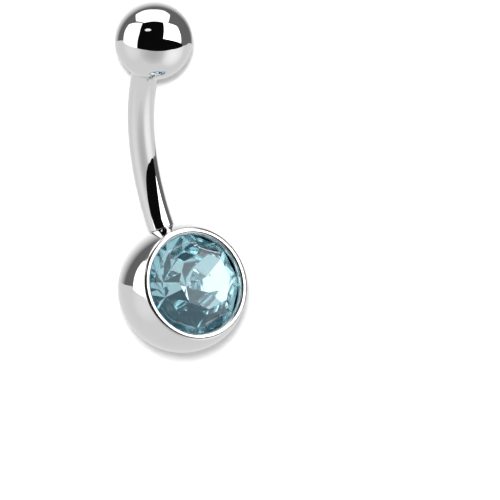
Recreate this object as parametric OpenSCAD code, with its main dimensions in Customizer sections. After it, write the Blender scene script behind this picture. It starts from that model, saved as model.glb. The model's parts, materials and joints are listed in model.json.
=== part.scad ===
// Curved navel barbell. A bent steel bar carries a small ball that screws on its upper end
// and a large ball, pressed on its lower end, that is cut flat and set with a faceted stone.
// It lies the way it does by itself: on both balls and the bow of its bar, stone upward.
// All lengths are in millimetres.

/* [Bar] */
// Thickness of the bar, 14 gauge
bar_d = 1.6; // [1.5:0.1:2]
// Straight distance between the two ends of the bar, where the balls seat
bar_len = 11.1; // [9.1:0.5:13.1]
// Radius of the bend, along the middle of the bar
bend_r = 11.5; // [9:0.5:15]
// Outer thickness of the threaded stud
stud_d = 1.2; // [1:0.05:1.3]
// Length of the threaded stud
stud_len = 3; // [2:0.1:3.2]
// Thickness of the spigot in the large ball
spigot_d = 1.2; // [1:0.05:1.3]

/* [Top ball] */
// Diameter of the ball that screws on
top_ball_d = 4.75; // [4.5:0.25:6]

/* [Gem ball] */
// Diameter of the ball that holds the stone
gem_ball_d = 8; // [7.8:0.1:9]
// Width of the rounded lip that holds the stone, which runs out into the ball's surface
lip_w = 0.54; // [0.46:0.02:0.6]
// How far the lip's round stands out from the ball's surface
lip_rise = 0.01; // [0.006:0.002:0.02]
// Steel left between the bore of the spigot and the cup
spigot_wall = 0.3; // [0.2:0.1:0.6]

/* [Stone] */
// Diameter of the stone across the corners of its girdle
stone_d = 6.3; // [6:0.1:6.4]
// Diameter of the table, across its corners
table_d = 3.6; // [3.4:0.1:4]
// Height of the crown above the girdle
crown_h = 1.75; // [1.5:0.05:1.9]
// Height of the girdle's band
girdle_h = 0.12; // [0.08:0.02:0.2]
// Depth of the pavilion below the girdle
pavilion_h = 2.5; // [2.3:0.05:2.8]
// Diameter of the ring of points that the lower facets reach down to
pavilion_mid_d = 2.6; // [1:0.2:3]
// Number of main facets round the stone
stone_sides = 8; // [8:2:12]
// How far the girdle's corners lie to each side of the table's corners, in degrees
corner_turn = 6; // [4:1:10]
// How far the stone is turned about its axis, in degrees
stone_turn = 31; // [0:1:45]
// Width of the stone's edge that the lip covers
lip_hold = 0.09; // [0.07:0.01:0.12]

/* [Fits] */
// Play between each ball's flat seat and the end of the bar
seat_gap = 0.02; // [0.01:0.01:0.05]
// Radial play of the stud and the spigot in their bores
bore_play = 0.02; // [0.01:0.01:0.05]
// Room past the end of the stud and the spigot
bore_end = 0.15; // [0.1:0.05:0.3]
// How much wider than the bar's end each flat seat is, all round
seat_rim = 0.1; // [0.05:0.05:0.2]
// Play between the stone and its cup
stone_gap = 0.04; // [0.02:0.01:0.06]

/* [Hidden] */
$fn = 96;
// Overlap of a cutting tool past the face it cuts
cut_over = 1;
// How deep each pin is rooted in the bar
pin_root = 0.5;

bar_r = bar_d / 2;
seat_r = bar_r + seat_rim;
top_r = top_ball_d / 2;
gem_r = gem_ball_d / 2;

// Half the angle of the bend
bend_half = asin(bar_len / 2 / bend_r);

// Height of each flat seat from its ball's centre
top_seat = sqrt(pow(top_r, 2) - pow(seat_r, 2));
gem_seat = sqrt(pow(gem_r, 2) - pow(seat_r, 2));

// The bar lies in the plane y = 0, its middle at the origin and its hollow side toward +x
bend_centre = [bend_r, 0, 0];
function end_dir(side) = [sin(bend_half), 0, side * cos(bend_half)];
function bar_end(side) = [bend_r * (1 - cos(bend_half)), 0, side * bar_len / 2];
top_centre = bar_end(1) + (seat_gap + top_seat) * end_dir(1);
gem_centre = bar_end(-1) + (seat_gap + gem_seat) * end_dir(-1);

// The stone's axis is square to the bar's lower end, and heights along it start at the ball's centre
lip_r = lip_w / 2;
open_r = stone_d / 2 - lip_hold;
bead_mid_r = open_r + lip_r;
bead_z = sqrt(pow(gem_r + lip_rise - lip_r, 2) - pow(bead_mid_r, 2));
// The ball is cut flat inside the lip's bead, at the level where the bead meets the ball's surface
cut_z = gem_r * bead_z / norm([bead_mid_r, bead_z]);

// Half the step between main facets
half_turn = 180 / stone_sides;
// The lower facets end on the lines where the pavilion's main facets meet
pavilion_mid_z = pavilion_h * (1 - pavilion_mid_d * cos(half_turn) / (stone_d * cos(corner_turn)));
// The steepest line of the crown clears the bead by the stone's play
crown_run = (stone_d - table_d) / 2;
crown_edge = [crown_run, crown_h] / norm([crown_run, crown_h]);
bead_over = ((lip_r + stone_gap) + (stone_d / 2 - bead_mid_r) * crown_edge[1]) / crown_edge[0];
girdle_z = bead_z - bead_over;

// The cup is a cone round the lines where the pavilion's main facets meet, the stone's play away
cup_r = stone_d / 2 + stone_gap;
cup_slope = pavilion_h * cos(half_turn) / (stone_d / 2 * cos(corner_turn));
cup_tip_z = girdle_z - girdle_h - pavilion_h - stone_gap * norm([1, cup_slope]);
cup_ledge_z = cup_tip_z + cup_slope * cup_r;
function cup_radius(z) = z > cup_ledge_z ? cup_r : (z - cup_tip_z) / cup_slope;

// The spigot stops short of the cup, measured at the level of its bore's upper side
spigot_bore_r = spigot_d / 2 + bore_play;
spigot_len = gem_seat + seat_gap - bore_end - spigot_wall - cup_radius(spigot_bore_r);

// How it lies. Its floor touches both balls and the bow of the bar, or the balls alone where
// the bow doesn't reach down. The floor's normal is q cos(t), side, q sin(t) in the bar's axes.
ball_line = gem_centre - top_centre;
bow_line = gem_centre - bend_centre;
drop_share = (gem_r - top_r) / (gem_r - bar_r);
three = ball_line - drop_share * bow_line;
three_t = atan2(three[2], three[0]) + acos(drop_share * bend_r / norm(three));
three_q = (gem_r - bar_r) / (bow_line * [cos(three_t), 0, sin(three_t)] + bend_r);
two_t = atan2(ball_line[2], ball_line[0]) + acos((gem_r - top_r) / norm(ball_line));
bow_touches = three_q < 1;
lie_t = bow_touches ? three_t : two_t;
lie_q = bow_touches ? three_q : 1;
lie_side = -sqrt(1 - pow(lie_q, 2));
floor_up = [lie_q * cos(lie_t), lie_side, lie_q * sin(lie_t)];

// Axes and origin of the lying object: +Y toward the small ball, +Z up,
// the origin on the floor below the middle of its length
level = -ball_line + (ball_line * floor_up) * floor_up;
along = level / norm(level);
across = cross(along, floor_up);
span_mid = (norm(level) + top_r - gem_r) / 2;
floor_spot = gem_centre + span_mid * along - gem_r * floor_up;
lying = [for (axis = [across, along, floor_up]) concat(axis, -(axis * floor_spot))];

module laid() {
    multmatrix(concat(lying, [[0, 0, 0, 1]])) children();
}

// Places a piece at an end of the bar, with +z running out of that end
module at_end(side) {
    translate(bar_end(side)) rotate([0, side > 0 ? bend_half : 180 - bend_half, 0]) children();
}

module shank() {
    translate(bend_centre) rotate([90, 0, 0])
        rotate_extrude(angle = 2 * bend_half, start = 180 - bend_half)
            translate([bend_r, 0]) circle(r = bar_r);
}

// A pin thinner than the bar, which stands out of its end
module end_pin(pin_d, pin_len) {
    translate([0, 0, -pin_root]) cylinder(d = pin_d, h = pin_root + pin_len);
}

module bar() {
    color("silver") laid() union() {
        shank();
        at_end(1) end_pin(stud_d, stud_len);
        at_end(-1) end_pin(spigot_d, spigot_len);
    }
}

module top_ball() {
    color("gainsboro") laid() at_end(1) translate([0, 0, seat_gap + top_seat]) difference() {
        sphere(r = top_r);
        translate([0, 0, -top_r - cut_over]) cylinder(r = top_r, h = top_r + cut_over - top_seat);
        translate([0, 0, -top_r])
            cylinder(r = stud_d / 2 + bore_play, h = top_r - top_seat - seat_gap + stud_len + bore_end);
    }
}

// Half section of the large ball: cut flat, with the cup and the bead of the lip
module gem_ball_section() {
    difference() {
        circle(r = gem_r);
        translate([-gem_r - cut_over, -gem_r - cut_over]) square([gem_r + cut_over, 2 * (gem_r + cut_over)]);
        translate([-cut_over, cut_z]) square([gem_r + 2 * cut_over, gem_r]);
        polygon([
            [-cut_over, cup_tip_z],
            [0, cup_tip_z],
            [cup_r, cup_ledge_z],
            [cup_r, cut_z + cut_over],
            [-cut_over, cut_z + cut_over]
        ]);
    }
    translate([bead_mid_r, bead_z]) circle(r = lip_r);
}

// Turns +z to the stone's axis; +x then runs on outward along the bar's lower end
module at_stone() {
    translate(gem_centre) rotate([0, 90 - bend_half, 0]) children();
}

module gem_ball() {
    color("gainsboro") laid() at_stone() difference() {
        rotate_extrude() gem_ball_section();
        translate([-gem_r - cut_over, 0, 0]) rotate([0, 90, 0])
            cylinder(r = spigot_bore_r, h = gem_r + cut_over - gem_seat - seat_gap + spigot_len + bore_end);
        translate([-gem_r - cut_over, 0, 0]) rotate([0, 90, 0])
            cylinder(r = seat_r + cut_over, h = gem_r + cut_over - gem_seat);
    }
}

// Point of the stone at a radius, a height and a direction
function stone_point(r, z, turn) = [r * cos(turn), r * sin(turn), z];
// Directions of the table's corners, of its sides and of the corners of the girdle
table_turns = [for (i = [0:stone_sides - 1]) 2 * i * half_turn];
side_turns = [for (t = table_turns) t + half_turn];
girdle_turns = [for (t = table_turns) each [t + corner_turn, t + 2 * half_turn - corner_turn]];
stone_points = concat(
    [for (t = table_turns) stone_point(table_d / 2, crown_h, t)],
    [for (t = girdle_turns) stone_point(stone_d / 2, 0, t)],
    [for (t = girdle_turns) stone_point(stone_d / 2, -girdle_h, t)],
    [for (t = side_turns) stone_point(pavilion_mid_d / 2, -girdle_h - pavilion_mid_z, t)],
    [[0, 0, -girdle_h - pavilion_h]]
);
// Where each ring's point i is in that list
function table_at(i) = i % stone_sides;
function top_at(i) = stone_sides + (i + 2 * stone_sides) % (2 * stone_sides);
function low_at(i) = 3 * stone_sides + (i + 2 * stone_sides) % (2 * stone_sides);
function deep_at(i) = 5 * stone_sides + i % stone_sides;
culet_at = 6 * stone_sides;
stone_facets = concat(
    [[for (i = [stone_sides - 1:-1:0]) table_at(i)]],
    [for (i = [0:stone_sides - 1]) each [
        [table_at(i), table_at(i + 1), top_at(2 * i + 1), top_at(2 * i)],
        [table_at(i), top_at(2 * i), top_at(2 * i - 1)],
        [deep_at(i), low_at(2 * i), low_at(2 * i + 1)],
        [deep_at(i), low_at(2 * i + 1), low_at(2 * i + 2), deep_at(i + 1), culet_at]
    ]],
    [for (i = [0:2 * stone_sides - 1]) [top_at(i), top_at(i + 1), low_at(i + 1), low_at(i)]]
);

module gem() {
    color("lightblue") laid() at_stone() translate([0, 0, girdle_z]) rotate([0, 0, stone_turn])
        polyhedron(points = stone_points, faces = stone_facets);
}

bar();
top_ball();
gem_ball();
gem();
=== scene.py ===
import json
import math

import bmesh
import bpy
from mathutils import Matrix, Vector


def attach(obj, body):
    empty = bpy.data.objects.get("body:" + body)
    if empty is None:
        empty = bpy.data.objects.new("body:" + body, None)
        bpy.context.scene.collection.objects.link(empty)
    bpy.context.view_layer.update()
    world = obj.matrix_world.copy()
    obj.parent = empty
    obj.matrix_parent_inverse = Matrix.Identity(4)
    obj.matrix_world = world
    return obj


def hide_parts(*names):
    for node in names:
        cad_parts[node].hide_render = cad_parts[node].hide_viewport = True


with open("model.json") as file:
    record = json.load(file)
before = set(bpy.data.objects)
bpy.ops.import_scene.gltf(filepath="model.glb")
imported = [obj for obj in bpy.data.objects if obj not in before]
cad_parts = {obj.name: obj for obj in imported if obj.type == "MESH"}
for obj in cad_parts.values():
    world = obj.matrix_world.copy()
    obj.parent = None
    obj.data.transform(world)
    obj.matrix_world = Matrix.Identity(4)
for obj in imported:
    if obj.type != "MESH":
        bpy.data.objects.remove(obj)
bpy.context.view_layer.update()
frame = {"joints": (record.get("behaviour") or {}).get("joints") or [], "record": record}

# Everything is modelled in millimetres and laid into the frame in metres
MM = 0.001

# Sizes of the real ring, in millimetres
BAR_R = 0.8
BEND_R = 11.5
BAR_LEN = 11.1
PIN_R = 0.6
STUD_LEN = 3.0
SEAT_GAP = 0.02
SEAT_R = 0.9
BORE_R = 0.62
BORE_END = 0.15
TOP_R = 2.375
BALL_R = 4.0
SPIGOT_WALL = 0.3
LIP_R = 0.27
LIP_RISE = 0.01
LIP_HOLD = 0.09
STONE_R = 3.15
STONE_GAP = 0.04
STONE_SIDES = 8
STONE_TURN = math.radians(31)
CORNER_TURN = math.radians(6)
TABLE_R = 1.8
CROWN_H = 1.75
GIRDLE_H = 0.12
PAVILION_H = 2.5
PAVILION_MID_R = 1.3

# The thread: its pitch, how deep it is cut, and how far from each end of the stud and of the bore it stops
PITCH = 0.25
STUD_CUT = 0.13
STUD_THREAD_FROM = 0.3
STUD_THREAD_TO = 0.14
BORE_CUT = 0.1
BORE_THREAD_FROM = 0.12
BORE_THREAD_TO = 0.15

# The thin neck below the stud's thread, the step that ends it, and how much thinner the stud's tip is
NECK_CUT = 0.1
NECK_LEN = 0.2
NECK_STEP_END = 0.28
TIP_TAPER = 0.02

# How far edges are eased, and how wide the mouths of the bores are broken
END_EASE = 0.07
TIP_EASE = 0.12
ROOT_EASE = 0.04
SEAT_EASE = 0.04
BORE_EASE = 0.1
MOUTH_EASE = 0.02
CUP_EASE = 0.03
TOP_MOUTH = 0.08
SPIGOT_MOUTH = 0.06

# How finely round surfaces are drawn: round a piece and a pin, along the bend, and along outlines
TURNS = 160
PIN_TURNS = 72
BEND_STEPS = 96
CORNER_STEPS = 4
PITCH_STEPS = 10
TOP_STEPS = 90
LIP_STEPS = 40
BALL_STEPS = 130

# A corner is held in shape by points this many times its ease away
HOLD = 1.25
# Round outlines stop this many degrees up or down, next to the axis
POLE = 89
# Edges sharper than this many degrees stay sharp
SHARP = 35
# How far past a cutting tool's work its own surface lies
CUT_OVER = 0.5

# The camera, fitted to the photograph. Lengths are in millimetres
VIEW_BACK = Vector((0.0971733, 0.476829, 0.873661))
VIEW_UP = Vector((0.0680934, 0.872552, -0.483713))
VIEW_RIGHT = VIEW_UP.cross(VIEW_BACK)
VIEW_DISTANCE = 300.0
VIEW_ASIDE = 6.686
VIEW_BELOW = 6.787
LENS = 349.25
SENSOR = 36.0

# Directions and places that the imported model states
shank = frame["record"]["mounts"][0]
MIDDLE = Vector(shank["pos_m"]) / MM
ALONG = Vector(shank["axis"]).normalized()
TOP_END = Vector(frame["joints"][0]["axis"]).normalized()
HOLLOW = (TOP_END - TOP_END.dot(ALONG) * ALONG).normalized()
SIDEWAYS = ALONG.cross(HOLLOW)
BEND_HALF = math.asin(BAR_LEN / 2 / BEND_R)
BAR_PLACE = Matrix.Translation(MIDDLE) @ Matrix((HOLLOW, SIDEWAYS, ALONG)).transposed().to_4x4()

TOP_SEAT = math.sqrt(TOP_R**2 - SEAT_R**2)
BALL_SEAT = math.sqrt(BALL_R**2 - SEAT_R**2)

# The lip's bead runs out into the ball, and the stone's crown stays its play below the bead
LIP_MID_R = STONE_R - LIP_HOLD + LIP_R
LIP_MID_Z = math.sqrt((BALL_R + LIP_RISE - LIP_R) ** 2 - LIP_MID_R**2)
HALF_TURN = math.pi / STONE_SIDES
GIRDLE_IN_R = STONE_R * math.cos(CORNER_TURN)
CROWN_SLOPE = math.atan2(CROWN_H, STONE_R - TABLE_R)
BELOW_LIP = (LIP_R + STONE_GAP + (STONE_R - LIP_MID_R) * math.sin(CROWN_SLOPE)) / math.cos(CROWN_SLOPE)
GIRDLE_Z = LIP_MID_Z - BELOW_LIP

# The cup is a cone round the pavilion
CUP_R = STONE_R + STONE_GAP
CUP_SLOPE = PAVILION_H * math.cos(HALF_TURN) / GIRDLE_IN_R
CUP_TIP_Z = GIRDLE_Z - GIRDLE_H - PAVILION_H - STONE_GAP * math.hypot(1, CUP_SLOPE)
SPIGOT_LEN = BALL_SEAT + SEAT_GAP - BORE_END - SPIGOT_WALL - (BORE_R - CUP_TIP_Z) / CUP_SLOPE


def at_end(side):
    """Place of an end of the bar, with z running out of it."""
    middle = Vector((BEND_R * (1 - math.cos(BEND_HALF)), 0, side * BAR_LEN / 2))
    turn = BEND_HALF if side > 0 else math.pi - BEND_HALF
    return BAR_PLACE @ Matrix.Translation(middle) @ Matrix.Rotation(turn, 4, "Y")


TOP_PLACE = at_end(1) @ Matrix.Translation((0, 0, SEAT_GAP + TOP_SEAT))
BALL_MIDDLE = at_end(-1) @ Vector((0, 0, SEAT_GAP + BALL_SEAT))
STONE_PLACE = (
    Matrix.Translation(BALL_MIDDLE)
    @ BAR_PLACE.to_3x3().to_4x4()
    @ Matrix.Rotation(math.pi / 2 - BEND_HALF, 4, "Y")
)


# Outlines: lists of (radius, height, depth of thread)
def corner(before, point, after, ease):
    """A corner of an outline, rounded over a length ease on both sides, with a holding point on each."""
    here = Vector(point)
    back, ahead = (Vector(before) - here).normalized(), (Vector(after) - here).normalized()
    start, end = here + back * ease, here + ahead * ease
    points = [here + back * ease * HOLD]
    for i in range(CORNER_STEPS + 1):
        t = i / CORNER_STEPS
        points.append(start * (1 - t) ** 2 + here * 2 * t * (1 - t) + end * t**2)
    points.append(here + ahead * ease * HOLD)
    return [(p.x, p.y, 0) for p in points]


def arc(middle_r, middle_z, radius, start, end, steps):
    """Round stretch of an outline. Angles are in degrees from outward, turning upward."""
    points = []
    for i in range(steps + 1):
        a = math.radians(start + (end - start) * i / steps)
        points.append((middle_r + radius * math.cos(a), middle_z + radius * math.sin(a), 0))
    return points


def threaded(radius, bottom, top, cut):
    """Threaded stretch of an outline, whose groove fades in and out over one turn at its ends."""
    steps = max(2, round(abs(top - bottom) / PITCH * PITCH_STEPS))
    points = []
    for i in range(steps + 1):
        z = bottom + (top - bottom) * i / steps
        fade = min(1.0, abs(z - bottom) / PITCH, abs(top - z) / PITCH)
        points.append((radius, z, cut * fade))
    return points


def groove(turn):
    """Depth of a thread's groove at a share of a turn, from 0 on the crest to 1 at the root."""
    return 0.5 - 0.5 * math.cos(2 * math.pi * turn)


# Meshes
def skinned(name, rings, start, end):
    """Closed mesh in millimetres through rings of points, ending in the points start and end."""
    count = len(rings[0])
    points = [start] + [p for ring in rings for p in ring] + [end]
    faces = []
    for i in range(count):
        j = (i + 1) % count
        faces.append((0, 1 + j, 1 + i))
        for k in range(len(rings) - 1):
            a, b = 1 + k * count, 1 + (k + 1) * count
            faces.append((a + i, a + j, b + j, b + i))
        last = 1 + (len(rings) - 1) * count
        faces.append((last + i, last + j, len(points) - 1))
    mesh = bpy.data.meshes.new(name)
    mesh.from_pydata(points, [], faces)
    shape = bmesh.new()
    shape.from_mesh(mesh)
    bmesh.ops.recalc_face_normals(shape, faces=shape.faces)
    shape.to_mesh(mesh)
    shape.free()
    return mesh


def round_ring(place, radius, height, cut, turns):
    """Ring of points round the z axis of place, grooved by a thread where cut isn't 0."""
    ring = []
    for i in range(turns):
        a = 2 * math.pi * i / turns
        r = radius + cut * groove(height / PITCH + i / turns)
        ring.append(place @ Vector((r * math.cos(a), r * math.sin(a), height)))
    return ring


def turned(name, outline, place, turns=TURNS):
    """Solid turned on a lathe from an outline that starts and ends on the axis."""
    rings = [round_ring(place, r, z, cut, turns) for r, z, cut in outline[1:-1]]
    start, end = (place @ Vector((0, 0, outline[k][1])) for k in (0, -1))
    return skinned(name, rings, start, end)


def piece_from(name, mesh, body, materials, nodes):
    """Object of a finished mesh, laid into the frame, riding on its body in place of its CAD nodes."""
    mesh.transform(Matrix.Scale(MM, 4))
    piece = bpy.data.objects.new(name, mesh)
    bpy.context.scene.collection.objects.link(piece)
    for material in materials:
        mesh.materials.append(material)
    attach(piece, body)
    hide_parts(*nodes)
    return piece


def smooth(mesh):
    """Smooth shading that keeps sharp edges."""
    mesh.shade_smooth()
    mesh.set_sharp_from_angle(angle=math.radians(SHARP))


def lay_grain(mesh, to_grain):
    """Stores the direction of the finish: round the axis in x and y, and along it in z."""
    grain = mesh.attributes.new("grain", "FLOAT_VECTOR", "POINT")
    flat = []
    for vertex in mesh.vertices:
        flat.extend(to_grain(vertex.co))
    grain.data.foreach_set("vector", flat)


def turned_grain(place):
    """Finish of a lathe, in rings round the z axis of place."""
    back = place.inverted()

    def to_grain(point):
        p = back @ point
        r = max(math.hypot(p.x, p.y), 1e-6)
        return p.x / r, p.y / r, math.atan2(r, p.z) * p.length

    return to_grain


def drawn_grain(point):
    """Finish of the drawn bar, in lines along its bend."""
    p = BAR_PLACE.inverted() @ point - Vector((BEND_R, 0, 0))
    out = math.hypot(p.x, p.z)
    a = math.atan2(p.y, out - BEND_R)
    return math.cos(a), math.sin(a), math.atan2(p.z, -p.x) * BEND_R


def mark_faces(mesh, place, index, test):
    """Gives a material to the faces whose middle, measured from place, passes a test."""
    back = place.inverted()
    for face in mesh.polygons:
        if test(back @ face.center):
            face.material_index = index


def by_axis(point, radius):
    """Whether a point lies within a radius of the z axis."""
    return math.hypot(point.x, point.y) < radius


def carved(mesh, tool_mesh):
    """The mesh less another closed mesh."""
    body = bpy.data.objects.new("body", mesh)
    tool = bpy.data.objects.new("tool", tool_mesh)
    for o in (body, tool):
        bpy.context.scene.collection.objects.link(o)
    cut = body.modifiers.new("cut", "BOOLEAN")
    cut.operation, cut.solver, cut.object = "DIFFERENCE", "EXACT", tool
    bpy.context.view_layer.update()
    result = bpy.data.meshes.new_from_object(body.evaluated_get(bpy.context.evaluated_depsgraph_get()))
    for o in (body, tool):
        bpy.data.objects.remove(o)
    return result


# Pieces
def make_bar(materials):
    """Bent bar with its threaded stud and its plain spigot, in one piece."""
    lower, upper = at_end(-1), at_end(1)
    neck_r = PIN_R - NECK_CUT
    rings = []
    spigot = corner((0, SPIGOT_LEN), (PIN_R, SPIGOT_LEN), (PIN_R, 0), TIP_EASE)
    spigot += corner((PIN_R, 1), (PIN_R, 0), (BAR_R, 0), ROOT_EASE)
    spigot += corner((PIN_R, 0), (BAR_R, 0), (BAR_R, -1), END_EASE)
    for r, z, cut in spigot:
        rings.append(round_ring(lower, r, z, cut, PIN_TURNS))
    margin = END_EASE * HOLD / BEND_R
    for i in range(1, BEND_STEPS):
        a = -BEND_HALF + margin + (2 * BEND_HALF - 2 * margin) * i / BEND_STEPS
        out = Vector((-math.cos(a), 0, math.sin(a)))
        here = Vector((BEND_R, 0, 0)) + BEND_R * out
        ring = []
        for k in range(PIN_TURNS):
            t = 2 * math.pi * k / PIN_TURNS
            ring.append(BAR_PLACE @ (here + BAR_R * (math.cos(t) * out + math.sin(t) * Vector((0, 1, 0)))))
        rings.append(ring)
    stud = corner((BAR_R, -1), (BAR_R, 0), (PIN_R, 0), END_EASE)
    stud += corner((BAR_R, 0), (neck_r, 0), (neck_r, 1), ROOT_EASE)
    stud += [(neck_r, NECK_LEN, 0), (PIN_R, NECK_STEP_END, 0)]
    stud += threaded(PIN_R, STUD_THREAD_FROM, STUD_LEN - STUD_THREAD_TO, -STUD_CUT)
    stud += corner((PIN_R, 1), (PIN_R - TIP_TAPER, STUD_LEN), (0, STUD_LEN), TIP_EASE)
    # The bend's rings start on its outer side and run the other way round than the upper end's
    outer_side = upper @ Matrix.Rotation(math.pi, 4, "Z")
    for r, z, cut in stud:
        ring = round_ring(outer_side, r, z, cut, PIN_TURNS)
        rings.append(ring[:1] + ring[:0:-1])
    mesh = skinned(
        "bent_bar", rings, lower @ Vector((0, 0, SPIGOT_LEN)), upper @ Vector((0, 0, STUD_LEN))
    )
    smooth(mesh)
    lay_grain(mesh, drawn_grain)
    past_end, round_pin = 0.01, PIN_R + 0.02
    for end in (lower, upper):
        mark_faces(mesh, end, 1, lambda p: p.z > past_end and by_axis(p, round_pin))
    return piece_from("bent_bar", mesh, "set_bar", materials, ["bar"])


def make_top_ball(materials):
    """Small ball with a flat seat and a threaded blind bore."""
    bore_top = -TOP_SEAT - SEAT_GAP + STUD_LEN + BORE_END
    mouth_in, mouth_out = (BORE_R, -TOP_SEAT + TOP_MOUTH), (BORE_R + TOP_MOUTH, -TOP_SEAT)
    seat_edge = (SEAT_R, -TOP_SEAT)
    seat_angle = math.degrees(math.asin(TOP_SEAT / TOP_R))
    # The ball's round starts this many degrees above the edge of its seat
    above_seat = 2
    on_ball = math.radians(seat_angle - above_seat)
    outline = [(0, bore_top, 0)]
    outline += corner((0, bore_top), (BORE_R, bore_top), (BORE_R, 0), BORE_EASE)
    outline += threaded(BORE_R, bore_top - BORE_THREAD_TO, -TOP_SEAT + BORE_THREAD_FROM, BORE_CUT)
    outline += corner((BORE_R, 0), mouth_in, mouth_out, MOUTH_EASE)
    outline += corner(mouth_in, mouth_out, seat_edge, MOUTH_EASE)
    round_start = (TOP_R * math.cos(on_ball), -TOP_R * math.sin(on_ball))
    outline += corner((0, -TOP_SEAT), seat_edge, round_start, SEAT_EASE)
    outline += arc(0, 0, TOP_R, -seat_angle + above_seat, POLE, TOP_STEPS)
    outline += [(0, TOP_R, 0)]
    mesh = turned("screw_ball", outline, TOP_PLACE)
    smooth(mesh)
    lay_grain(mesh, turned_grain(TOP_PLACE))
    inside, round_bore = TOP_R - 0.1, BORE_R + 0.02
    mark_faces(mesh, TOP_PLACE, 1, lambda p: p.length < inside and by_axis(p, round_bore))
    return piece_from("small_ball", mesh, "screw_ball", materials, ["top_ball"])


def make_gem_ball(materials):
    """Large ball, drilled out as a cup with a rounded lip, with a seat and bore for the bar."""
    cup_ledge = CUP_TIP_Z + CUP_SLOPE * CUP_R
    under_lip = 360 - math.degrees(math.acos((CUP_R - LIP_MID_R) / LIP_R))
    lip_angle = math.degrees(math.atan2(LIP_MID_Z, LIP_MID_R))
    # How many degrees short of their meeting the lip's round stops, and how many past it the ball's starts
    lip_short, ball_past = 6, 0.8
    outline = [(0, CUP_TIP_Z, 0)]
    outline += [(CUP_R * t, CUP_TIP_Z + CUP_SLOPE * CUP_R * t, 0) for t in (0.1, 0.3, 0.5, 0.7, 0.9)]
    outline += corner((0, CUP_TIP_Z), (CUP_R, cup_ledge), (CUP_R, LIP_MID_Z), CUP_EASE)
    outline += arc(LIP_MID_R, LIP_MID_Z, LIP_R, under_lip, lip_angle + lip_short, LIP_STEPS)
    outline += arc(0, 0, BALL_R, lip_angle - ball_past, -POLE, BALL_STEPS)
    outline += [(0, -BALL_R, 0)]
    mesh = turned("set_ball", outline, STONE_PLACE)
    seat_place = at_end(-1) @ Matrix.Translation((0, 0, SEAT_GAP + BALL_SEAT))
    bore_depth = SPIGOT_LEN + BORE_END - SEAT_GAP
    tool_r, tool_end = SEAT_R + CUT_OVER, -BALL_R - CUT_OVER
    seat_tool = [(0, bore_depth - BALL_SEAT, 0)]
    seat_tool += [(BORE_R, bore_depth - BALL_SEAT, 0), (BORE_R, -BALL_SEAT + SPIGOT_MOUTH, 0)]
    seat_tool += [(BORE_R + SPIGOT_MOUTH, -BALL_SEAT, 0), (tool_r, -BALL_SEAT, 0)]
    seat_tool += [(tool_r, tool_end, 0), (0, tool_end, 0)]
    mesh = carved(mesh, turned("seat_tool", seat_tool, seat_place, PIN_TURNS))
    smooth(mesh)
    true_ball_normals(mesh)
    lay_grain(mesh, turned_grain(STONE_PLACE))
    inside, round_bore, round_lip = math.hypot(CUP_R, LIP_MID_Z - LIP_R), BORE_R + 0.02, LIP_R + 0.01
    mark_faces(mesh, STONE_PLACE, 1, lambda p: p.length < inside)
    mark_faces(mesh, seat_place, 1, lambda p: p.length < BALL_SEAT and by_axis(p, round_bore))
    mark_faces(mesh, STONE_PLACE, 2, lambda p: by_lip(p, round_lip))
    return piece_from("stone_ball", mesh, "set_bar", materials, ["gem_ball"])


def by_lip(point, radius):
    """Whether a point lies within a radius of the ring that runs along the middle of the lip's bead."""
    return math.hypot(math.hypot(point.x, point.y) - LIP_MID_R, point.z - LIP_MID_Z) < radius


def true_ball_normals(mesh):
    """Gives the large ball's round surface its true normals, so that it mirrors without a ripple."""
    near_surface, facing_out = 0.003, 0.995
    normals = [Vector(c.vector) for c in mesh.corner_normals]
    for face in mesh.polygons:
        spots = [mesh.vertices[v].co - BALL_MIDDLE for v in face.vertices]
        on_surface = all(abs(s.length - BALL_R) < near_surface for s in spots)
        if on_surface and face.normal.dot(spots[0].normalized()) > facing_out:
            for loop, spot in zip(face.loop_indices, spots):
                normals[loop] = spot.normalized()
    mesh.normals_split_custom_set(normals)


def make_stone(materials):
    """Round stone: a table and sixteen crown facets, with foil on its girdle and on its pavilion."""
    deep_mid = PAVILION_H * (1 - PAVILION_MID_R * math.cos(HALF_TURN) / GIRDLE_IN_R)
    shape = bmesh.new()

    def ring(radius, height, turns):
        """Points at a height above the girdle, in directions counted from a corner of the table."""
        points = []
        for turn in turns:
            a = STONE_TURN + turn
            points.append(shape.verts.new((radius * math.cos(a), radius * math.sin(a), GIRDLE_Z + height)))
        return points

    corners = [2 * HALF_TURN * i for i in range(STONE_SIDES)]
    edge = [turn for c in corners for turn in (c + CORNER_TURN, c + 2 * HALF_TURN - CORNER_TURN)]
    table = ring(TABLE_R, CROWN_H, corners)
    top, low = ring(STONE_R, 0, edge), ring(STONE_R, -GIRDLE_H, edge)
    deep = ring(PAVILION_MID_R, -GIRDLE_H - deep_mid, [c + HALF_TURN for c in corners])
    culet = shape.verts.new((0, 0, GIRDLE_Z - GIRDLE_H - PAVILION_H))
    crown = [table]
    pavilion = []
    for i in range(STONE_SIDES):
        j, k, after = 2 * i, 2 * i + 1, (i + 1) % STONE_SIDES
        crown.append([table[i], table[after], top[k], top[j]])
        crown.append([table[i], top[j], top[j - 1]])
        pavilion.append([top[j - 1], top[j], low[j], low[j - 1]])
        pavilion.append([top[j], top[k], low[k], low[j]])
        pavilion.append([deep[i], low[j], low[k]])
        pavilion.append([deep[i - 1], low[j - 1], low[j], deep[i], culet])
    for facets, index in ((crown, 0), (pavilion, 1)):
        for facet in facets:
            shape.faces.new(facet).material_index = index
    bmesh.ops.recalc_face_normals(shape, faces=shape.faces)
    shape.transform(STONE_PLACE)
    mesh = bpy.data.meshes.new("stone")
    shape.to_mesh(mesh)
    shape.free()
    return piece_from("stone", mesh, "set_bar", materials, ["gem"])


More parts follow.
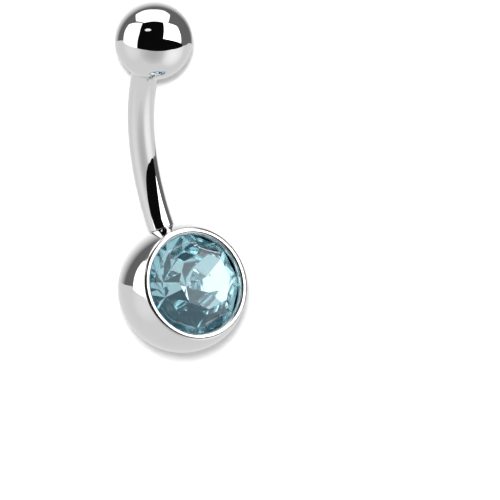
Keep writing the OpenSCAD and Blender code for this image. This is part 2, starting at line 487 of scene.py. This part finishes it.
# Colours of each material, where it is clean and where it is marked; by the bar's seats the steel's second
# colour is painted shade
POLISHED = ((0.725, 0.725, 0.73), (0.69, 0.69, 0.7))
SATIN = ((0.6, 0.6, 0.61), (0.5, 0.5, 0.51))
AQUA = ((0.75, 0.93, 0.965), (0.68, 0.91, 0.955))
FOIL = ((0.86, 0.96, 0.98), (0.8, 0.93, 0.97))
BOARD = ((0.865, 0.865, 0.87), (0.85, 0.85, 0.855))
GLASS_IOR = 1.52
GLASS_CLEAR = 0.99

# Height of the relief that a finish leaves, in metres
RELIEF = 0.00001

# Kinds of socket
VECTOR, FLOAT = "NodeSocketVector", "NodeSocketFloat"


# Materials
def new_material(name):
    """Material with its nodes, its links and its main shader."""
    material = bpy.data.materials.new(name)
    material.use_nodes = True
    nodes = material.node_tree.nodes
    return material, nodes, material.node_tree.links, nodes["Principled BSDF"]


def new_group(name, inputs, outputs):
    """Empty group of shader nodes with named sockets, given as pairs of a name and a kind."""
    group = bpy.data.node_groups.new(name, "ShaderNodeTree")
    for side, sockets in (("INPUT", inputs), ("OUTPUT", outputs)):
        for socket, kind in sockets:
            group.interface.new_socket(socket, in_out=side, socket_type=kind)
    nodes = group.nodes
    return group, nodes, group.links, nodes.new("NodeGroupInput"), nodes.new("NodeGroupOutput")


def add_group(nodes, group, **settings):
    """Puts a group into a material, with its own inputs set."""
    node = nodes.new("ShaderNodeGroup")
    node.node_tree = group
    for name, value in settings.items():
        node.inputs[name].default_value = value
    return node


def smudges_group():
    """Soft patches where a surface has been handled, as a mask and as a slight unevenness."""
    group, nodes, links, given, out = new_group(
        "smudges",
        (("Place", VECTOR), ("Scale", FLOAT), ("Cover", FLOAT), ("Depth", FLOAT)),
        (("Mask", FLOAT), ("Normal", VECTOR)),
    )
    cloud = nodes.new("ShaderNodeTexNoise")
    cloud.inputs["Detail"].default_value = 5.0
    cloud.inputs["Roughness"].default_value = 0.55
    cloud.inputs["Distortion"].default_value = 0.6
    patch = nodes.new("ShaderNodeMapRange")
    patch.interpolation_type = "SMOOTHSTEP"
    patch.inputs["From Max"].default_value = 0.75
    bump = nodes.new("ShaderNodeBump")
    bump.inputs["Distance"].default_value = RELIEF
    links.new(given.outputs["Place"], cloud.inputs["Vector"])
    links.new(given.outputs["Scale"], cloud.inputs["Scale"])
    links.new(cloud.outputs["Fac"], patch.inputs["Value"])
    links.new(given.outputs["Cover"], patch.inputs["From Min"])
    links.new(given.outputs["Depth"], bump.inputs["Strength"])
    links.new(cloud.outputs["Fac"], bump.inputs["Height"])
    links.new(patch.outputs["Result"], out.inputs["Mask"])
    links.new(bump.outputs["Normal"], out.inputs["Normal"])
    return group


def end_mask_group():
    """Mask that grows along the grain from one length to another, on both sides of the grain's middle."""
    group, nodes, links, given, out = new_group(
        "end_mask", (("Grain", VECTOR), ("From", FLOAT), ("To", FLOAT)), (("Mask", FLOAT),)
    )
    parts = nodes.new("ShaderNodeSeparateXYZ")
    far = nodes.new("ShaderNodeMath")
    far.operation = "ABSOLUTE"
    ramp = nodes.new("ShaderNodeMapRange")
    ramp.interpolation_type = "SMOOTHSTEP"
    links.new(given.outputs["Grain"], parts.inputs[0])
    links.new(parts.outputs["Z"], far.inputs[0])
    links.new(far.outputs[0], ramp.inputs["Value"])
    links.new(given.outputs["From"], ramp.inputs["From Min"])
    links.new(given.outputs["To"], ramp.inputs["From Max"])
    links.new(ramp.outputs["Result"], out.inputs["Mask"])
    return group


def aim_mask_group():
    """Mask that grows toward a direction, from nothing where the cosine of the angle to it is Rim."""
    group, nodes, links, given, out = new_group(
        "aim_mask", (("Direction", VECTOR), ("Toward", VECTOR), ("Rim", FLOAT)), (("Mask", FLOAT),)
    )
    way = nodes.new("ShaderNodeVectorMath")
    way.operation = "NORMALIZE"
    share = nodes.new("ShaderNodeVectorMath")
    share.operation = "DOT_PRODUCT"
    ramp = nodes.new("ShaderNodeMapRange")
    links.new(given.outputs["Direction"], way.inputs[0])
    links.new(way.outputs["Vector"], share.inputs[0])
    links.new(given.outputs["Toward"], share.inputs[1])
    links.new(share.outputs["Value"], ramp.inputs["Value"])
    links.new(given.outputs["Rim"], ramp.inputs["From Min"])
    links.new(ramp.outputs["Result"], out.inputs["Mask"])
    return group


def polish_lines_group():
    """Fine lines that polishing leaves along the grain, as a mask and as a normal."""
    group, nodes, links, given, out = new_group(
        "polish_lines",
        (("Grain", VECTOR), ("Around", FLOAT), ("Along", FLOAT), ("Depth", FLOAT)),
        (("Mask", FLOAT), ("Normal", VECTOR)),
    )
    stretch = nodes.new("ShaderNodeCombineXYZ")
    for axis, source in (("X", "Around"), ("Y", "Around"), ("Z", "Along")):
        links.new(given.outputs[source], stretch.inputs[axis])
    scaled = nodes.new("ShaderNodeVectorMath")
    scaled.operation = "MULTIPLY"
    links.new(given.outputs["Grain"], scaled.inputs[0])
    links.new(stretch.outputs[0], scaled.inputs[1])
    lines = nodes.new("ShaderNodeTexNoise")
    lines.inputs["Scale"].default_value = 1.0
    lines.inputs["Detail"].default_value = 3.0
    links.new(scaled.outputs[0], lines.inputs["Vector"])
    bump = nodes.new("ShaderNodeBump")
    bump.inputs["Distance"].default_value = RELIEF
    links.new(given.outputs["Depth"], bump.inputs["Strength"])
    links.new(lines.outputs["Fac"], bump.inputs["Height"])
    links.new(lines.outputs["Fac"], out.inputs["Mask"])
    links.new(bump.outputs["Normal"], out.inputs["Normal"])
    return group


def place_of(nodes):
    """Place on the piece, in metres."""
    return nodes.new("ShaderNodeTexCoord").outputs["Object"]


def two_tones(nodes, links, mask, low, high):
    """Colour that runs between two tones by a mask."""
    tones = nodes.new("ShaderNodeMix")
    tones.data_type = "RGBA"
    tones.inputs["A"].default_value = (*low, 1)
    tones.inputs["B"].default_value = (*high, 1)
    links.new(mask, tones.inputs["Factor"])
    return tones.outputs["Result"]


def ranged(nodes, links, mask, low, high):
    """Value that runs between two numbers by a mask."""
    ramp = nodes.new("ShaderNodeMapRange")
    ramp.inputs["To Min"].default_value = low
    ramp.inputs["To Max"].default_value = high
    links.new(mask, ramp.inputs["Value"])
    return ramp.outputs["Result"]


def joined(nodes, links, operation, first, second):
    """Two values joined by a sum, a product or the like."""
    join = nodes.new("ShaderNodeMath")
    join.operation = operation
    links.new(first, join.inputs[0])
    links.new(second, join.inputs[1])
    return join.outputs[0]


def steel(name, groups, tones, rough, around, along, depth, ends):
    """Steel whose grain runs as the piece was turned or drawn, handled in patches, and rougher by its
    seats, where its colour darkens as painted shade.

    tones and rough: colour and roughness where it is clean, and where it is marked or lies by the seats,
    the darker colour by the seats being painted shade
    around, along and depth: how fine its lines are across and along the grain, and how deep
    ends: lengths along the grain, from its middle, where the roughening and the painted shade by the seats
    begin and are full
    """
    material, nodes, links, shader = new_material(name)
    grain = nodes.new("ShaderNodeAttribute")
    grain.attribute_name = "grain"
    polish = add_group(nodes, groups["lines"], Around=around, Along=along, Depth=depth)
    marks = add_group(nodes, groups["smudges"], Scale=700.0, Cover=0.45, Depth=0.0)
    # Mask of painted shade by the seats, which also makes the steel rougher there
    seats = add_group(nodes, groups["ends"], From=ends[0], To=ends[1])
    links.new(grain.outputs["Vector"], polish.inputs["Grain"])
    links.new(grain.outputs["Vector"], seats.inputs["Grain"])
    links.new(place_of(nodes), marks.inputs["Place"])
    # Handling marks, and painted shade by the seats, take the second colour and more roughness
    dull_and_shade = joined(nodes, links, "MULTIPLY", polish.outputs["Mask"], marks.outputs["Mask"])
    dull_and_shade = joined(nodes, links, "MAXIMUM", dull_and_shade, seats.outputs["Mask"])
    links.new(two_tones(nodes, links, dull_and_shade, *tones), shader.inputs["Base Color"])
    links.new(ranged(nodes, links, dull_and_shade, *rough), shader.inputs["Roughness"])
    links.new(polish.outputs["Normal"], shader.inputs["Normal"])
    shader.inputs["Metallic"].default_value = 1.0
    return material


def stone_glass(groups):
    """Clear aqua glass, a little deeper in tone in places, with a trace of polishing haze."""
    material, nodes, links, shader = new_material("aqua_glass")
    tint = add_group(nodes, groups["smudges"], Scale=260.0, Cover=0.3, Depth=0.0)
    haze = add_group(nodes, groups["smudges"], Scale=2400.0, Cover=0.4, Depth=0.0)
    place = place_of(nodes)
    links.new(place, tint.inputs["Place"])
    links.new(place, haze.inputs["Place"])
    links.new(two_tones(nodes, links, tint.outputs["Mask"], *AQUA), shader.inputs["Base Color"])
    links.new(ranged(nodes, links, haze.outputs["Mask"], 0.0, 0.02), shader.inputs["Roughness"])
    shader.inputs["IOR"].default_value = GLASS_IOR
    shader.inputs["Transmission Weight"].default_value = GLASS_CLEAR
    return material


def stone_foil(groups):
    """Bright foil behind the stone, faintly creased, with a soft grain."""
    material, nodes, links, shader = new_material("foil_back")
    creases = add_group(nodes, groups["smudges"], Scale=1500.0, Cover=0.35, Depth=0.25)
    grain = add_group(nodes, groups["smudges"], Scale=6000.0, Cover=0.3, Depth=0.0)
    place = place_of(nodes)
    links.new(place, creases.inputs["Place"])
    links.new(place, grain.inputs["Place"])
    links.new(two_tones(nodes, links, creases.outputs["Mask"], *FOIL), shader.inputs["Base Color"])
    links.new(ranged(nodes, links, grain.outputs["Mask"], 0.03, 0.09), shader.inputs["Roughness"])
    links.new(creases.outputs["Normal"], shader.inputs["Normal"])
    shader.inputs["Metallic"].default_value = 1.0
    return material


# Studio
def seen_in_ball(right, up):
    """Direction that a mirror ball shows at shares of its radius to the right and up."""
    front = math.sqrt(max(0.0, 1 - right**2 - up**2))
    return VIEW_RIGHT * (2 * front * right) + VIEW_UP * (2 * front * up) + VIEW_BACK * (2 * front**2 - 1)


def plain_light(name, strength, tone):
    """Material that glows evenly."""
    material, nodes, links, shader = new_material(name)
    nodes.remove(shader)
    glow = nodes.new("ShaderNodeEmission")
    glow.inputs["Color"].default_value = tone
    glow.inputs["Strength"].default_value = strength
    links.new(glow.outputs[0], nodes["Material Output"].inputs["Surface"])
    return material


def fade_to(material, aim, toward, begin, bright):
    """Makes a card's light grow toward a direction, from where the cosine of the angle to it is begin."""
    nodes, links = material.node_tree.nodes, material.node_tree.links
    glow = nodes["Emission"]
    place = nodes.new("ShaderNodeNewGeometry")
    mask = add_group(nodes, aim, Toward=toward.normalized(), Rim=begin)
    links.new(place.outputs["Position"], mask.inputs["Direction"])
    strength = ranged(nodes, links, mask.outputs["Mask"], glow.inputs["Strength"].default_value, bright)
    links.new(strength, glow.inputs["Strength"])


WHITE = (1, 1, 1, 1)
# How often a card's edges are cut, so that it follows the round of the studio
CARD_CUTS = 7


def card(name, outline, hub, distance, strength, for_stone=False, tone=WHITE):
    """Softbox or flag where a mirror ball shows it, round the spot hub, at a distance in metres.

    The polish alone mirrors it, or the stone alone refracts it.
    """
    shape = bmesh.new()
    middle = shape.verts.new(seen_in_ball(*hub))
    if for_stone:
        # Points at each quarter of the outline's sides keep them straight in the mirror ball
        ends = zip(outline, outline[1:] + outline[:1])
        outline = [Vector(a).lerp(Vector(b), t) for a, b in ends for t in (0, 0.25, 0.5, 0.75)]
    rim = [shape.verts.new(seen_in_ball(*p)) for p in outline]
    for i in range(len(rim)):
        shape.faces.new((middle, rim[i - 1], rim[i]))
    bmesh.ops.subdivide_edges(shape, edges=shape.edges, cuts=CARD_CUTS, use_grid_fill=True)
    for v in shape.verts:
        v.co = MIDDLE * MM + v.co.normalized() * distance
    mesh = bpy.data.meshes.new(name)
    shape.to_mesh(mesh)
    shape.free()
    mesh.materials.append(plain_light(name, strength, tone))
    obj = bpy.data.objects.new(name, mesh)
    bpy.context.scene.collection.objects.link(obj)
    obj.visible_camera = obj.visible_diffuse = obj.visible_shadow = False
    obj.visible_glossy, obj.visible_transmission = not for_stone, for_stone
    return obj


# Outlines of the studio's cards, where the small ball of the photograph mirrors them,
# in shares of the ball's radius to the right and up
DARK_SIDE = [
    (-0.985, 0.14), (-0.776, 0.02), (-0.6, -0.1), (-0.415, -0.202), (-0.196, -0.249), (0.149, -0.28),
    (0.462, -0.234), (0.745, -0.13), (0.9, -0.02), (0.99, 0.1),
]
TOP_BOX = [
    (-0.44, 0.65), (-0.25, 0.745), (0.0, 0.772), (0.26, 0.745), (0.4, 0.65), (0.36, 0.425), (0.25, 0.44),
    (-0.13, 0.455), (-0.22, 0.43), (-0.43, 0.48),
]
LEFT_BOX = [
    (-0.61, 0.41), (-0.27, 0.425), (-0.353, 0.158), (-0.4, -0.2), (-0.76, -0.03), (-0.76, 0.03),
    (-0.705, 0.275),
]
RIGHT_BOX = [(0.25, 0.44), (0.36, 0.425), (0.585, 0.362), (0.66, 0.214), (0.7, -0.06), (0.25, 0.033)]
CAMERA_FLAG = [
    (-0.259, 0.425), (-0.13, 0.45), (0.24, 0.44), (0.25, 0.033), (0.72, -0.07), (0.745, -0.13),
    (0.462, -0.234), (0.149, -0.28), (-0.196, -0.249), (-0.415, -0.202), (-0.353, 0.158),
]
GLINT = [(-0.22, 0.25), (-0.16, 0.29), (-0.08, 0.28), (-0.05, 0.25), (-0.09, 0.225), (-0.18, 0.22)]

# Outlines of the cards that only the stone refracts, in the same shares
STONE_DARK = [(-0.22, 0.96), (0.0, 0.98), (0.26, 0.95), (0.26, -0.12), (0.0, -0.2), (-0.24, -0.1)]
STONE_LEFT = [(-0.8, 0.4), (-0.25, 0.4), (-0.25, -0.28), (-0.8, -0.28)]
STONE_RIGHT = [(0.26, 0.4), (0.75, 0.4), (0.75, 0.0), (0.26, 0.0)]
STONE_LOW_DARK = [(0.36, -0.08), (0.62, -0.08), (0.62, -0.42), (0.36, -0.38)]
STONE_LOW_RIGHT = [(0.64, -0.1), (0.97, -0.1), (0.86, -0.46), (0.75, -0.6), (0.5, -0.6), (0.64, -0.42)]
STONE_UNDER = [(-0.6, -0.5), (0.3, -0.5), (0.3, -0.85), (-0.5, -0.82)]

# Soft pools of light and shade that the lower half of a mirror ball shows: the spot, the cosine of the
# angle from its middle to its rim, and the gain in its middle
POOLS = (((0.53, -0.36), 0.8, 1.42), ((0.0, -0.34), 0.76, 0.68), ((-0.58, -0.24), 0.86, 1.16))

# Tone and strength of the world for the floor, for the polish and for the stone
PLAIN_WORLD = (WHITE, 0.62)
MIRRORED_WORLD = ((0.83, 0.83, 0.835, 1), 1.0)
REFRACTED_WORLD = ((0.85, 0.97, 1, 1), 0.65)

# Tone of the dark cards that the stone refracts
DEEP_AQUA = (0.25, 0.75, 1, 1)

# The lamp: its power in watts, its width and distance in metres, and the way to it
LAMP_POWER = 2.2
LAMP_SIZE = 0.04
LAMP_DISTANCE = 0.5
LAMP_AT = Vector((0.1, 0.525, 0.845))


def lit_world(groups):
    """White world for the floor, a greyer one with soft pools for the polish, a dim one for the stone."""
    world = bpy.data.worlds.new("studio")
    bpy.context.scene.world = world
    world.use_nodes = True
    nodes, links = world.node_tree.nodes, world.node_tree.links
    plain = nodes["Background"]
    mirrored, refracted = (nodes.new("ShaderNodeBackground") for _ in range(2))
    lights = (plain, mirrored, refracted)
    for light, (tone, strength) in zip(lights, (PLAIN_WORLD, MIRRORED_WORLD, REFRACTED_WORLD)):
        light.inputs["Color"].default_value = tone
        light.inputs["Strength"].default_value = strength
    way = nodes.new("ShaderNodeTexCoord").outputs["Generated"]
    gain = None
    for spot, rim, most in POOLS:
        mask = add_group(nodes, groups["aim"], Toward=seen_in_ball(*spot), Rim=rim)
        links.new(way, mask.inputs["Direction"])
        pool = ranged(nodes, links, mask.outputs["Mask"], 1.0, most)
        gain = joined(nodes, links, "MULTIPLY", gain, pool) if gain else pool
    links.new(gain, mirrored.inputs["Strength"])
    path = nodes.new("ShaderNodeLightPath")
    shown = plain.outputs[0]
    for ray, light in (("Is Glossy Ray", mirrored), ("Is Transmission Ray", refracted)):
        mix = nodes.new("ShaderNodeMixShader")
        links.new(path.outputs[ray], mix.inputs[0])
        links.new(shown, mix.inputs[1])
        links.new(light.outputs[0], mix.inputs[2])
        shown = mix.outputs[0]
    links.new(shown, nodes["World Output"].inputs["Surface"])


def hang_cards(groups):
    """Cards that the polish mirrors, from the back to the front, and those that the stone refracts."""
    dark = card("dark_side", DARK_SIDE, hub=(0.0, 0.55), distance=0.62, strength=0.16)
    bright_way = VIEW_UP * 0.35 - VIEW_RIGHT * 0.15 - VIEW_BACK
    fade_to(dark.active_material, groups["aim"], bright_way, begin=0.68, bright=1.15)
    card("top_box", TOP_BOX, hub=(0.0, 0.62), distance=0.56, strength=1.9)
    card("left_box", LEFT_BOX, hub=(-0.55, 0.15), distance=0.55, strength=1.9)
    card("right_box", RIGHT_BOX, hub=(0.47, 0.2), distance=0.54, strength=3.3)
    card("camera_flag", CAMERA_FLAG, hub=(0.05, -0.1), distance=0.5, strength=0.004)
    card("glint", GLINT, hub=(-0.14, 0.255), distance=0.48, strength=1.2)
    shade = {"strength": 0.09, "for_stone": True, "tone": DEEP_AQUA}
    card("stone_dark", STONE_DARK, hub=(0.0, 0.3), distance=0.5, **shade)
    card("stone_low_dark", STONE_LOW_DARK, hub=(0.5, -0.24), distance=0.55, **shade)
    card("stone_left", STONE_LEFT, hub=(-0.5, 0.05), distance=0.55, strength=1.35, for_stone=True)
    card("stone_right", STONE_RIGHT, hub=(0.5, 0.2), distance=0.55, strength=1.9, for_stone=True)
    card("stone_low_right", STONE_LOW_RIGHT, hub=(0.74, -0.36), distance=0.56, strength=2.4, for_stone=True)
    card("stone_under", STONE_UNDER, hub=(-0.15, -0.65), distance=0.56, strength=0.4, for_stone=True)


def pale_floor(groups):
    """Smooth white board with a fine paper grain."""
    material, nodes, links, shader = new_material("pale_floor")
    paper = add_group(nodes, groups["smudges"], Scale=900.0, Cover=0.2, Depth=0.3)
    links.new(place_of(nodes), paper.inputs["Place"])
    links.new(two_tones(nodes, links, paper.outputs["Mask"], *BOARD), shader.inputs["Base Color"])
    links.new(ranged(nodes, links, paper.outputs["Mask"], 0.85, 0.95), shader.inputs["Roughness"])
    links.new(paper.outputs["Normal"], shader.inputs["Normal"])
    return material


def lay_floor(material):
    """Floor that the ring lies on, which neither the polish nor the stone shows."""
    shape = bmesh.new()
    bmesh.ops.create_grid(shape, x_segments=8, y_segments=8, size=2.0)
    mesh = bpy.data.meshes.new("floor")
    shape.to_mesh(mesh)
    shape.free()
    mesh.materials.append(material)
    floor = bpy.data.objects.new("floor", mesh)
    bpy.context.scene.collection.objects.link(floor)
    floor.visible_glossy = floor.visible_transmission = False


def hang_light():
    """Soft light from above the image's upper side, which lays the shadow below the large ball."""
    lamp = bpy.data.lights.new("soft_light", "AREA")
    lamp.energy, lamp.size = LAMP_POWER, LAMP_SIZE
    light = bpy.data.objects.new("soft_light", lamp)
    bpy.context.scene.collection.objects.link(light)
    toward = LAMP_AT.normalized()
    light.location = MIDDLE * MM + toward * LAMP_DISTANCE
    light.rotation_mode = "QUATERNION"
    light.rotation_quaternion = toward.to_track_quat("Z", "Y")
    light.visible_glossy = light.visible_transmission = light.visible_camera = False


def place_camera():
    """Camera at the photograph's angle and distance, with the ring in the photograph's place."""
    lens = bpy.data.cameras.new("camera")
    lens.lens, lens.sensor_width = LENS, SENSOR
    lens.clip_start, lens.clip_end = 0.01, 10.0
    camera = bpy.data.objects.new("camera", lens)
    bpy.context.scene.collection.objects.link(camera)
    spot = MIDDLE + VIEW_BACK * VIEW_DISTANCE + VIEW_RIGHT * VIEW_ASIDE - VIEW_UP * VIEW_BELOW
    turn = Matrix((VIEW_RIGHT, VIEW_UP, VIEW_BACK)).transposed().to_4x4()
    camera.matrix_world = Matrix.Translation(spot * MM) @ turn
    bpy.context.scene.camera = camera


bpy.context.scene.view_settings.view_transform = "Standard"
bpy.context.scene.cycles.max_bounces = 16
bpy.context.scene.cycles.glossy_bounces = 12
bpy.context.scene.cycles.transmission_bounces = 12

groups = {
    "lines": polish_lines_group(),
    "smudges": smudges_group(),
    "ends": end_mask_group(),
    "aim": aim_mask_group(),
}
# Lengths along the grain that lie past the ends of every piece, where no seat roughens it or lays painted
# shade on it
NO_SEAT_SHADE = (20.0, 21.0)
ball_steel = steel(
    "ball_steel", groups, POLISHED, rough=(0.02, 0.05), around=1.5, along=30.0, depth=0.02, ends=NO_SEAT_SHADE
)
# The bar darkens toward each ball in painted shade, and roughens there
bar_steel = steel(
    "bar_steel", groups, POLISHED, rough=(0.025, 0.06), around=12.0, along=0.6, depth=0.03, ends=(5.6, 5.9)
)
cut_steel = steel(
    "cut_steel", groups, SATIN, rough=(0.22, 0.34), around=3.0, along=20.0, depth=0.3, ends=NO_SEAT_SHADE
)
lip_steel = steel(
    "lip_steel", groups, POLISHED, rough=(0.16, 0.24), around=1.5, along=30.0, depth=0.05, ends=NO_SEAT_SHADE
)
make_bar([bar_steel, cut_steel])
make_top_ball([ball_steel, cut_steel])
make_gem_ball([ball_steel, cut_steel, lip_steel])
make_stone([stone_glass(groups), stone_foil(groups)])
lit_world(groups)
hang_cards(groups)
lay_floor(pale_floor(groups))
hang_light()
place_camera()
